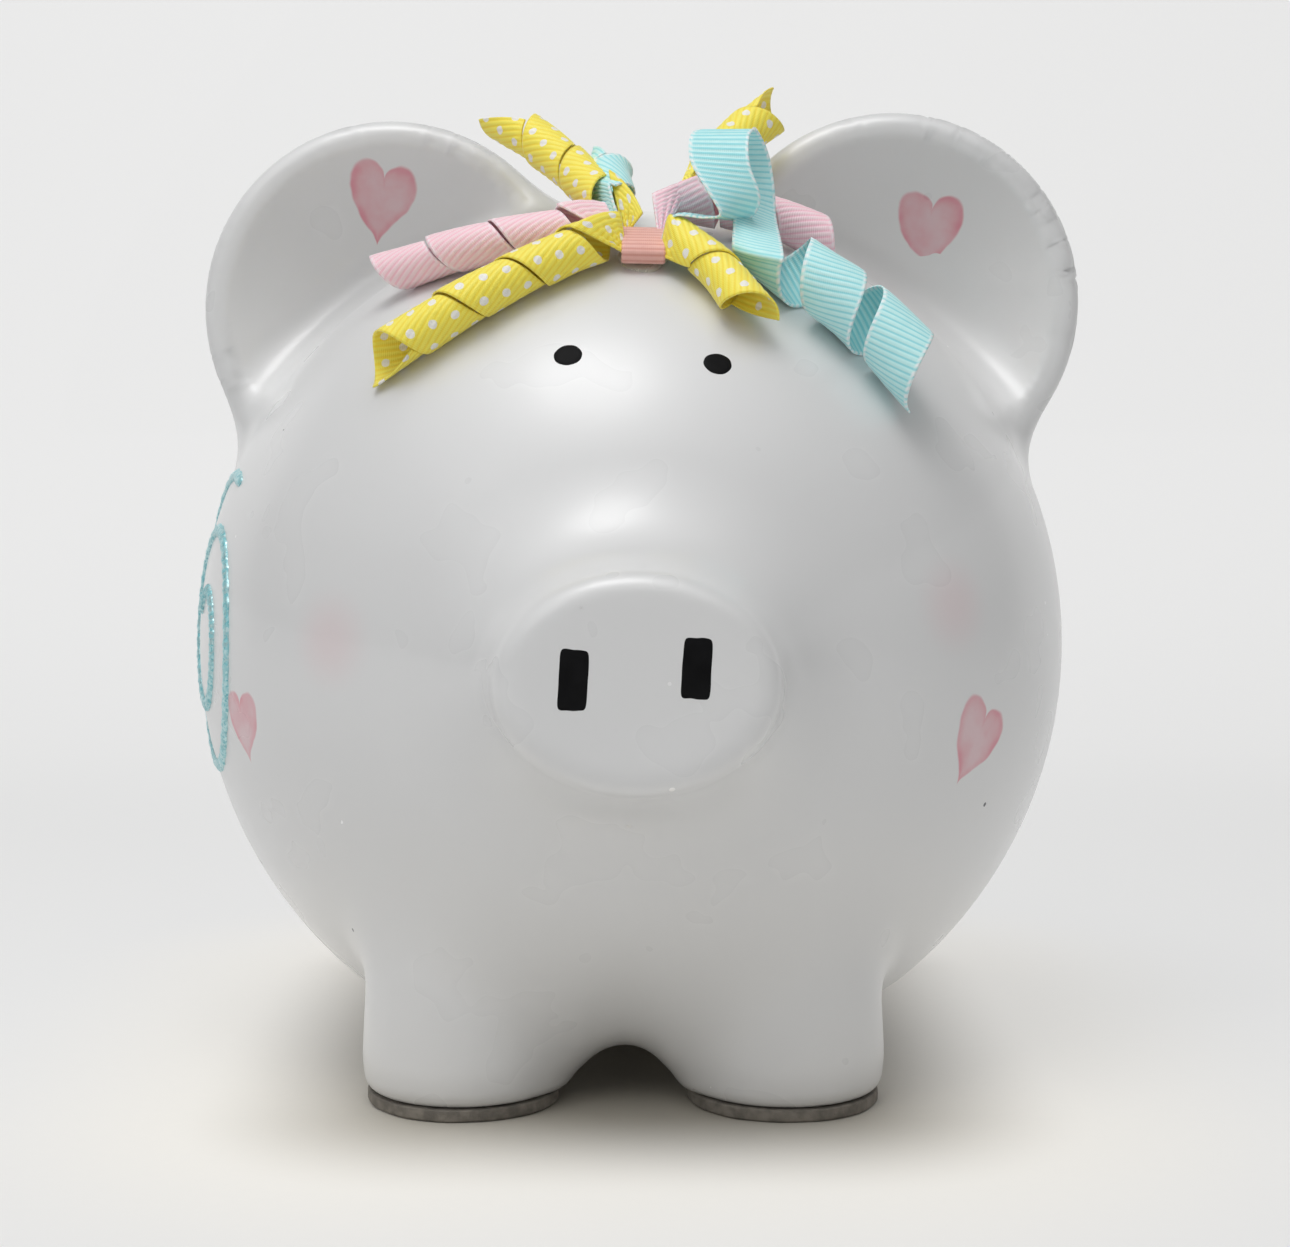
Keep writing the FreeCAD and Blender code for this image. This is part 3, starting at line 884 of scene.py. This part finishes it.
def heart(paint, middle, facing, half, lean):
    """The share of paint a heart leaves at each place: soft at its edge, and thin in its middle."""
    facing = Vector(facing).normalized()
    side = Vector((0, 0, 1)).cross(facing).normalized()
    up = facing.cross(side)
    turn = Matrix.Rotation(math.radians(lean), 3, facing)
    side, up = turn @ side, turn @ up
    size = half * MM
    stray = paint.node("TexNoise", {"Vector": paint.where, "Scale": 160.0, "Detail": 2.0}).outputs["Color"]
    moved = paint.vector("ADD", paint.where, paint.vector("MULTIPLY", stray, (0.0016, 0.0016, 0.0016)))
    away = paint.vector("SUBTRACT", moved, tuple((c + 0.8) * MM for c in middle))
    x = paint.math("DIVIDE", paint.vector("DOT_PRODUCT", away, tuple(side)), size)
    y = paint.math("DIVIDE", paint.vector("DOT_PRODUCT", away, tuple(up)), size)
    rise = paint.math("MULTIPLY", paint.math("SQRT", paint.math("ABSOLUTE", x)), 0.86)
    lift = paint.math("SUBTRACT", paint.math("MULTIPLY", y, 1.12), rise)
    shape = paint.math("ADD", paint.math("MULTIPLY", x, x), paint.math("MULTIPLY", lift, lift))
    shape = paint.math("SUBTRACT", shape, 1.0)
    near = paint.math("LESS_THAN", paint.vector("LENGTH", away), half * 1.9 * MM)
    front = paint.math("GREATER_THAN", paint.vector("DOT_PRODUCT", away, tuple(facing)), -4.0 * MM)
    body = paint.math("MULTIPLY", paint.ramp(shape, 0.10, -0.10), paint.math("MULTIPLY", near, front))
    edge = paint.ramp(shape, -0.6, -0.1, 0.74, 1.0)
    return paint.math("MULTIPLY", body, edge)


def white_glaze():
    paint = Paint("white_glaze")
    hearts = 0.0
    for row in HEARTS:
        hearts = paint.math("MAXIMUM", hearts, heart(paint, *row))
    mottle = paint.ramp(paint.noise(150.0, 3.0), 0.3, 0.7, 0.55, 0.88)
    hearts = paint.math("MULTIPLY", hearts, mottle)
    blush = 0.0
    for middle in BLUSHES:
        gap = paint.vector("DISTANCE", paint.where, tuple(c * MM for c in middle))
        blush = paint.math("MAXIMUM", blush, paint.ramp(gap, 0.010, 0.001, 0.0, 0.16))
    clay = paint.mix(paint.noise(9.0), (0.70, 0.705, 0.71, 1), (0.76, 0.76, 0.755, 1))
    colour = paint.mix(blush, clay, tone(232, 160, 168))
    colour = paint.mix(hearts, colour, tone(214, 120, 136))
    cells = paint.node("TexVoronoi", {"Vector": paint.where, "Scale": 150.0})
    chance = paint.node("SeparateColor", {0: cells.outputs["Color"]}).outputs[0]
    fleck = paint.math("LESS_THAN", cells.outputs["Distance"], paint.ramp(chance, 0.5, 1.0, 0.0, 0.075))
    patch = paint.math("GREATER_THAN", paint.noise(22.0, 1.0), 0.52)
    fleck = paint.math(
        "MULTIPLY", paint.math("MULTIPLY", fleck, patch), paint.math("GREATER_THAN", chance, 0.72)
    )
    silver = paint.mix(paint.math("GREATER_THAN", chance, 0.965), (0.95, 0.95, 0.95, 1), (0.12, 0.12, 0.13, 1))
    colour = paint.mix(fleck, colour, silver)
    wave = paint.noise(26.0, 1.0)
    paint.bump(wave, 0.35, 0.0004)
    return paint.surface(
        Base_Color=colour, Metallic=paint.math("MULTIPLY", fleck, 0.7),
        Roughness=paint.ramp(paint.noise(60.0), 0.2, 0.8, 0.26, 0.32),
        Coat_Weight=0.4, Coat_Roughness=0.22,
    )


def black_enamel():
    paint = Paint("black_enamel")
    paint.bump(paint.noise(500.0, 3.0), 0.25, 0.0001)
    colour = paint.mix(paint.noise(300.0), (0.004, 0.004, 0.004, 1), (0.012, 0.012, 0.013, 1))
    gloss = paint.ramp(paint.noise(200.0), 0.2, 0.8, 0.30, 0.42)
    return paint.surface(Base_Color=colour, Roughness=gloss, Specular_IOR_Level=0.04)


def grosgrain(name, face, groove_shade_and_mottle, stitch=None, dots=False):
    """Ribbed ribbon: ribs along its length with painted shade in the grooves between them, and either stitched
    edges or printed dots.
    """
    paint = Paint(name)
    uv = paint.node("SeparateXYZ", {0: paint.node("UVMap", uv_map="ribbon").outputs[0]})
    u, v = uv.outputs[0], uv.outputs[1]
    rib = paint.math("COSINE", paint.math("MULTIPLY", u, 2 * math.pi / RIB_PITCH))
    weave = paint.math("SINE", paint.math("MULTIPLY", v, 2 * math.pi / (0.32 * MM)))
    # Painted shade: the grooves between the ribs take the darker colour.
    colour = paint.mix(paint.ramp(rib, -1.0, 0.4), groove_shade_and_mottle, face)
    # The darker colour also lies in soft random blotches over the ribbon.
    colour = paint.mix(paint.ramp(paint.noise(600.0, 3.0), 0.3, 0.7, 0.0, 0.16), colour, groove_shade_and_mottle)
    edge = paint.math("ABSOLUTE", v)
    if stitch:
        slant = paint.math(
            "ADD", paint.math("MULTIPLY", u, 2 * math.pi / (1.3 * MM)), paint.math("MULTIPLY", v, 2600.0)
        )
        slant = paint.math("ADD", slant, paint.math("MULTIPLY", paint.noise(500.0), 5.0))
        dash = paint.ramp(paint.math("SINE", slant), -0.9, 0.6, 0.12, 0.95)
        band = paint.ramp(edge, 0.0042, 0.0047)
        colour = paint.mix(paint.math("MULTIPLY", dash, band), colour, stitch)
    if dots:
        row = paint.math("ADD", paint.math("DIVIDE", v, 3.1 * MM), 8.5)
        stagger = paint.math("MULTIPLY", paint.math("MODULO", paint.math("FLOOR", row), 2.0), 0.5)
        column = paint.math("ADD", paint.math("DIVIDE", u, 4.6 * MM), stagger)
        y = paint.math("MULTIPLY", paint.math("SUBTRACT", paint.math("FRACT", row), 0.5), 3.1)
        x = paint.math("MULTIPLY", paint.math("SUBTRACT", paint.math("FRACT", column), 0.5), 4.6)
        gap = paint.math("SQRT", paint.math("ADD", paint.math("MULTIPLY", x, x), paint.math("MULTIPLY", y, y)))
        gap = paint.math("ADD", gap, paint.math("MULTIPLY", paint.noise(900.0), 0.22))
        colour = paint.mix(paint.ramp(gap, 0.90, 0.74), colour, (0.90, 0.88, 0.82, 1))
    paint.bump(weave, 0.3, 0.00006)
    return paint.surface(Base_Color=colour, Roughness=paint.ramp(rib, -1.0, 1.0, 0.62, 0.42), Sheen_Weight=0.25)


def mottled(name, dark, light, scale, rough, bump=0.3, depth=0.0001, **more):
    paint = Paint(name)
    grain = paint.noise(scale, 4.0)
    paint.bump(paint.noise(scale * 2.3, 3.0), bump, depth)
    colour = paint.mix(paint.ramp(grain, 0.3, 0.7), dark, light)
    return paint.surface(
        Base_Color=colour, Roughness=paint.ramp(grain, 0.2, 0.8, rough - 0.06, rough + 0.06), **more
    )


def glitter_paint():
    paint = Paint("aqua_glitter")
    cells = paint.node("TexVoronoi", {"Vector": paint.where, "Scale": 2600.0})
    chance = paint.node("SeparateColor", {0: cells.outputs["Color"]}).outputs[0]
    flake = paint.math("GREATER_THAN", chance, 0.45)
    colour = paint.mix(chance, tone(120, 196, 204), tone(206, 236, 238))
    paint.bump(chance, 0.9, 0.0003)
    return paint.surface(Base_Color=colour, Metallic=paint.math("MULTIPLY", flake, 0.55), Roughness=0.28)


def floor_paper():
    """Pale paper, painted warmer close to the pig as a beige painted shadow tint; it glows as painted light, a
    little more where it stands up behind, and the emission fades out round the pig's feet as a painted shadow.
    """
    paint = Paint("floor_paper")
    place = paint.node("SeparateXYZ", {0: paint.where}).outputs
    aside = paint.math("MAXIMUM", paint.math("SUBTRACT", paint.math("ABSOLUTE", place[0]), 0.032), 0.0)
    ahead = paint.math("MAXIMUM", paint.math("SUBTRACT", paint.math("ABSOLUTE", place[1]), 0.055), 0.0)
    gap = paint.math(
        "SQRT", paint.math("ADD", paint.math("MULTIPLY", aside, aside), paint.math("MULTIPLY", ahead, ahead))
    )
    # Painted shadow tint: the paper is coloured warmer and lighter close to the pig.
    painted_warm_shadow = paint.ramp(gap, 0.10, 0.02)
    colour = paint.mix(painted_warm_shadow, (0.36, 0.36, 0.36, 1), (0.46, 0.43, 0.37, 1))
    colour = paint.mix(paint.ramp(paint.noise(400.0, 4.0), 0.2, 0.8, 0.0, 0.05), colour, (0.3, 0.3, 0.3, 1))
    # Painted light: the paper glows, a little more where it stands up behind.
    painted_glow = paint.ramp(place[1], 0.2, 0.8, FLOOR_GLOW, BACK_GLOW)
    # Painted shadow: the emission fades out close to the pig's feet.
    painted_glow = paint.math("MULTIPLY", painted_glow, paint.ramp(gap, 0.0, 0.045))
    return paint.surface(
        Base_Color=colour, Roughness=0.95, Emission_Color=(1, 1, 0.995, 1), Emission_Strength=painted_glow
    )


def dress(piece, material, *nodes, slot=None):
    piece.data.materials.clear()
    piece.data.materials.append(material)
    if nodes:
        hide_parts(*nodes)


# --- the smaller hard pieces ---
def make_pads(material):
    profile = rounded([(0, 0), (15.9, 0), (16.35, 0.3), (16.35, PAD_T - 0.2), (16.1, PAD_T), (0, PAD_T)], 0.25)
    profile = [(r * MM, z * MM) for r, z in profile]
    for name in ("front_left", "front_right", "rear_left", "rear_right"):
        low, high = low_high(f"{name}_foot_pad")
        pad = turned(f"{name}_foot_pad_dressed", profile, (low + high) / 2, 96)
        points = points_of(pad)
        away = points[:, :2] - ((low + high) / 2)[:2]
        angle = np.arctan2(away[:, 1], away[:, 0]) + len(name)
        points[:, :2] += away * (0.006 * np.sin(5 * angle) + 0.004 * np.sin(13 * angle))[:, None]
        move_points(pad, points)
        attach(pad, BODY)
        dress(pad, material, f"{name}_foot_pad", slot="foot_pad")


def make_stopper(material):
    profile = rounded(
        [
            (0, 7.1), (13.6, 7.1), (14.1, 6.6), (15.4, 6.6), (15.9, 7.1), (19.2, 7.1), (20.0, 7.9), (20.0, 9.2),
            (19.5, 9.48), (15.40, 9.48), (14.60, 18.7), (13.8, 19.5), (12.2, 19.5), (11.6, 18.9),
            (11.5, 10.8), (0, 10.7),
        ], 0.5,
    )
    stopper = turned("belly_stopper", [(r * MM, z * MM) for r, z in profile], (0, 0, 0), 96)
    deselect()
    bpy.ops.mesh.primitive_cube_add(size=1.0, location=(0, 0, 5.4 * MM))
    tab = bpy.context.object
    tab.scale = (22 * MM, 4.0 * MM, 3.8 * MM)
    settle(tab)
    apply_modifier(tab, "BEVEL", width=1.4 * MM, segments=5)
    points = points_of(tab)
    lower = np.clip((7.3 * MM - points[:, 2]) / (3.8 * MM), 0, 1)
    points[:, 1] *= 1 - 0.16 * lower
    points[:, 0] *= 1 - 0.05 * lower
    move_points(tab, points)
    shade_smooth(tab)
    stopper = joined([stopper, tab], "belly_stopper")
    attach(stopper, "stopper")
    dress(stopper, material, "stopper", slot="stopper_rubber")


def make_thread(material):
    turns = []
    for k, across in enumerate((-0.62, -0.2, 0.22, 0.63)):
        deselect()
        bpy.ops.mesh.primitive_torus_add(
            major_segments=48, minor_segments=8, major_radius=1.0, minor_radius=0.17
        )
        turn = settle(bpy.context.object)
        points = points_of(turn)
        angle = np.arctan2(points[:, 1], points[:, 0])
        off = np.hypot(points[:, 0], points[:, 1]) - 1.0
        c, s = np.cos(angle), np.sin(angle)
        reach = 1 / (np.abs(c) ** 3.2 + np.abs(s) ** 3.2) ** (1 / 3.2)
        up, out = c * (3.75 * reach + off), s * (1.15 * reach + off) + BAND_MID / MM
        place = BOW_SEAT + (ACROSS * (across + points[:, 2] + 0.05 * np.sin(angle + k))[:, None]
                            + UP_HEAD * up[:, None] + OUT * out[:, None]) * MM
        move_points(turn, place)
        turns.append(turn)
    thread = joined(turns, "binding_thread_dressed")
    shade_smooth(thread)
    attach(thread, BODY)
    dress(thread, material, "binding_thread", slot="thread")


def make_glue(material):
    def place(u, v):
        angle = 2 * np.pi * u
        r = 4.3 * np.sin(v * math.pi / 2) * (1 + 0.07 * np.sin(3 * angle) + 0.05 * np.sin(5 * angle + 1))
        points = from_head(0, 0, 0) + (
            ACROSS * (r * np.cos(angle))[:, None] + UP_HEAD * (r * np.sin(angle))[:, None]
        ) * MM
        return to_level(points, 1.0 * MM * np.cos(v * math.pi / 2) ** 0.7 - 0.08 * MM)

    dab = gridded("glue_dab_dressed", 64, 14, place)
    shade_smooth(dab)
    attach(dab, BODY)
    dress(dab, material, "glue_dab", slot="hot_melt_glue")


# --- light ---
FLOOR_GLOW = 0.46
BACK_GLOW = 0.58
floor = add_floor()
dress(floor, floor_paper())
for share in (0.3, 0.5, 0.7, 0.9, 1.1):
    add_light("top_softbox", "AREA", (-0.12, -0.28, 0.90), 2.0, (1.4 * share, 1.15 * share))
    add_light("front_softbox", "AREA", (-0.75, -0.85, 0.85), 0.55, (1.7 * share, 1.7 * share))
world = bpy.data.worlds.new("studio")
bpy.context.scene.world = world
world.use_nodes = True
world.node_tree.nodes["Background"].inputs["Color"].default_value = (1.0, 1.0, 1.0, 1.0)
world.node_tree.nodes["Background"].inputs["Strength"].default_value = 0.22
bpy.context.scene.view_settings.view_transform = "Standard"

# --- the finished pieces ---
pig = glazed_pig()
dress(pig, white_glaze())
enamel = black_enamel()
for name, middle, lean in (("right_eye", (-10.1, -61.3, 125.4), 0.1), ("left_eye", (13.9, -61.7, 124.0), -0.1)):
    eye = painted_spot(
        name, np.array(middle) * MM, 2.45 * MM, 2.3 * MM, lean, 2.0, 0.14 * MM, np.array(middle) * MM - CENTRE
    )
    dress(eye, enamel)
for name, x, z in (("right_nostril", -8.5, 76.0), ("left_nostril", 9.7, 77.7)):
    nostril = painted_spot(
        name, (x * MM, SNOUT_Y, z * MM), 2.3 * MM, 4.8 * MM, 0.06, 9.0, 0.14 * MM, (0, -1, 0)
    )
    dress(nostril, enamel)

ribbons = make_bow()
# Each ribbon: face colour, darker colour of the grooves (painted shade between the ribs), stitch colour or
# None, and whether it has dots.
COLOURS = {
    "yellow": (tone(255, 240, 92), tone(252, 228, 66), None, True),
    "pink": (tone(255, 224, 231), tone(253, 200, 214), tone(255, 236, 242), False),
    "aqua": (tone(208, 250, 250), tone(154, 230, 236), tone(244, 253, 253), False),
    "salmon": (tone(238, 184, 174), tone(220, 154, 142), tone(252, 216, 212), False),
}
cloth = {colour: grosgrain(f"{colour}_grosgrain", *values) for colour, values in COLOURS.items()}
band = make_band()
dress(band, cloth["salmon"], "centre_band", slot="salmon_grosgrain")
for name, piece in ribbons.items():
    colour = name.split("_")[0]
    dress(piece, cloth[colour], name, slot=f"{colour}_grosgrain")

make_thread(mottled("thread", tone(225, 224, 220), tone(244, 243, 240), 900.0, 0.8))
make_glue(
    mottled("hot_melt_glue", tone(214, 208, 190), tone(236, 232, 220), 300.0, 0.28, Transmission_Weight=0.35)
)
make_pads(mottled("foot_pad", tone(112, 107, 100), tone(142, 136, 127), 420.0, 0.85, bump=0.6, depth=0.0003))
make_stopper(mottled("stopper_rubber", tone(206, 203, 194), tone(224, 221, 213), 60.0, 0.5))

SWIRL = []
for t in np.linspace(0.0, 2.2, 40):
    r = 4.0 + 8.5 * t
    SWIRL.append(
        (-21.0 + r * math.cos(2 * math.pi * t + 0.6), 78.0 + 1.15 * r * math.sin(2 * math.pi * t + 0.6))
    )
swirl = glitter_line("glitter_swirl", SWIRL, 1.15 * MM)
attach(swirl, BODY)
dress(swirl, glitter_paint(), slot="white_glaze")
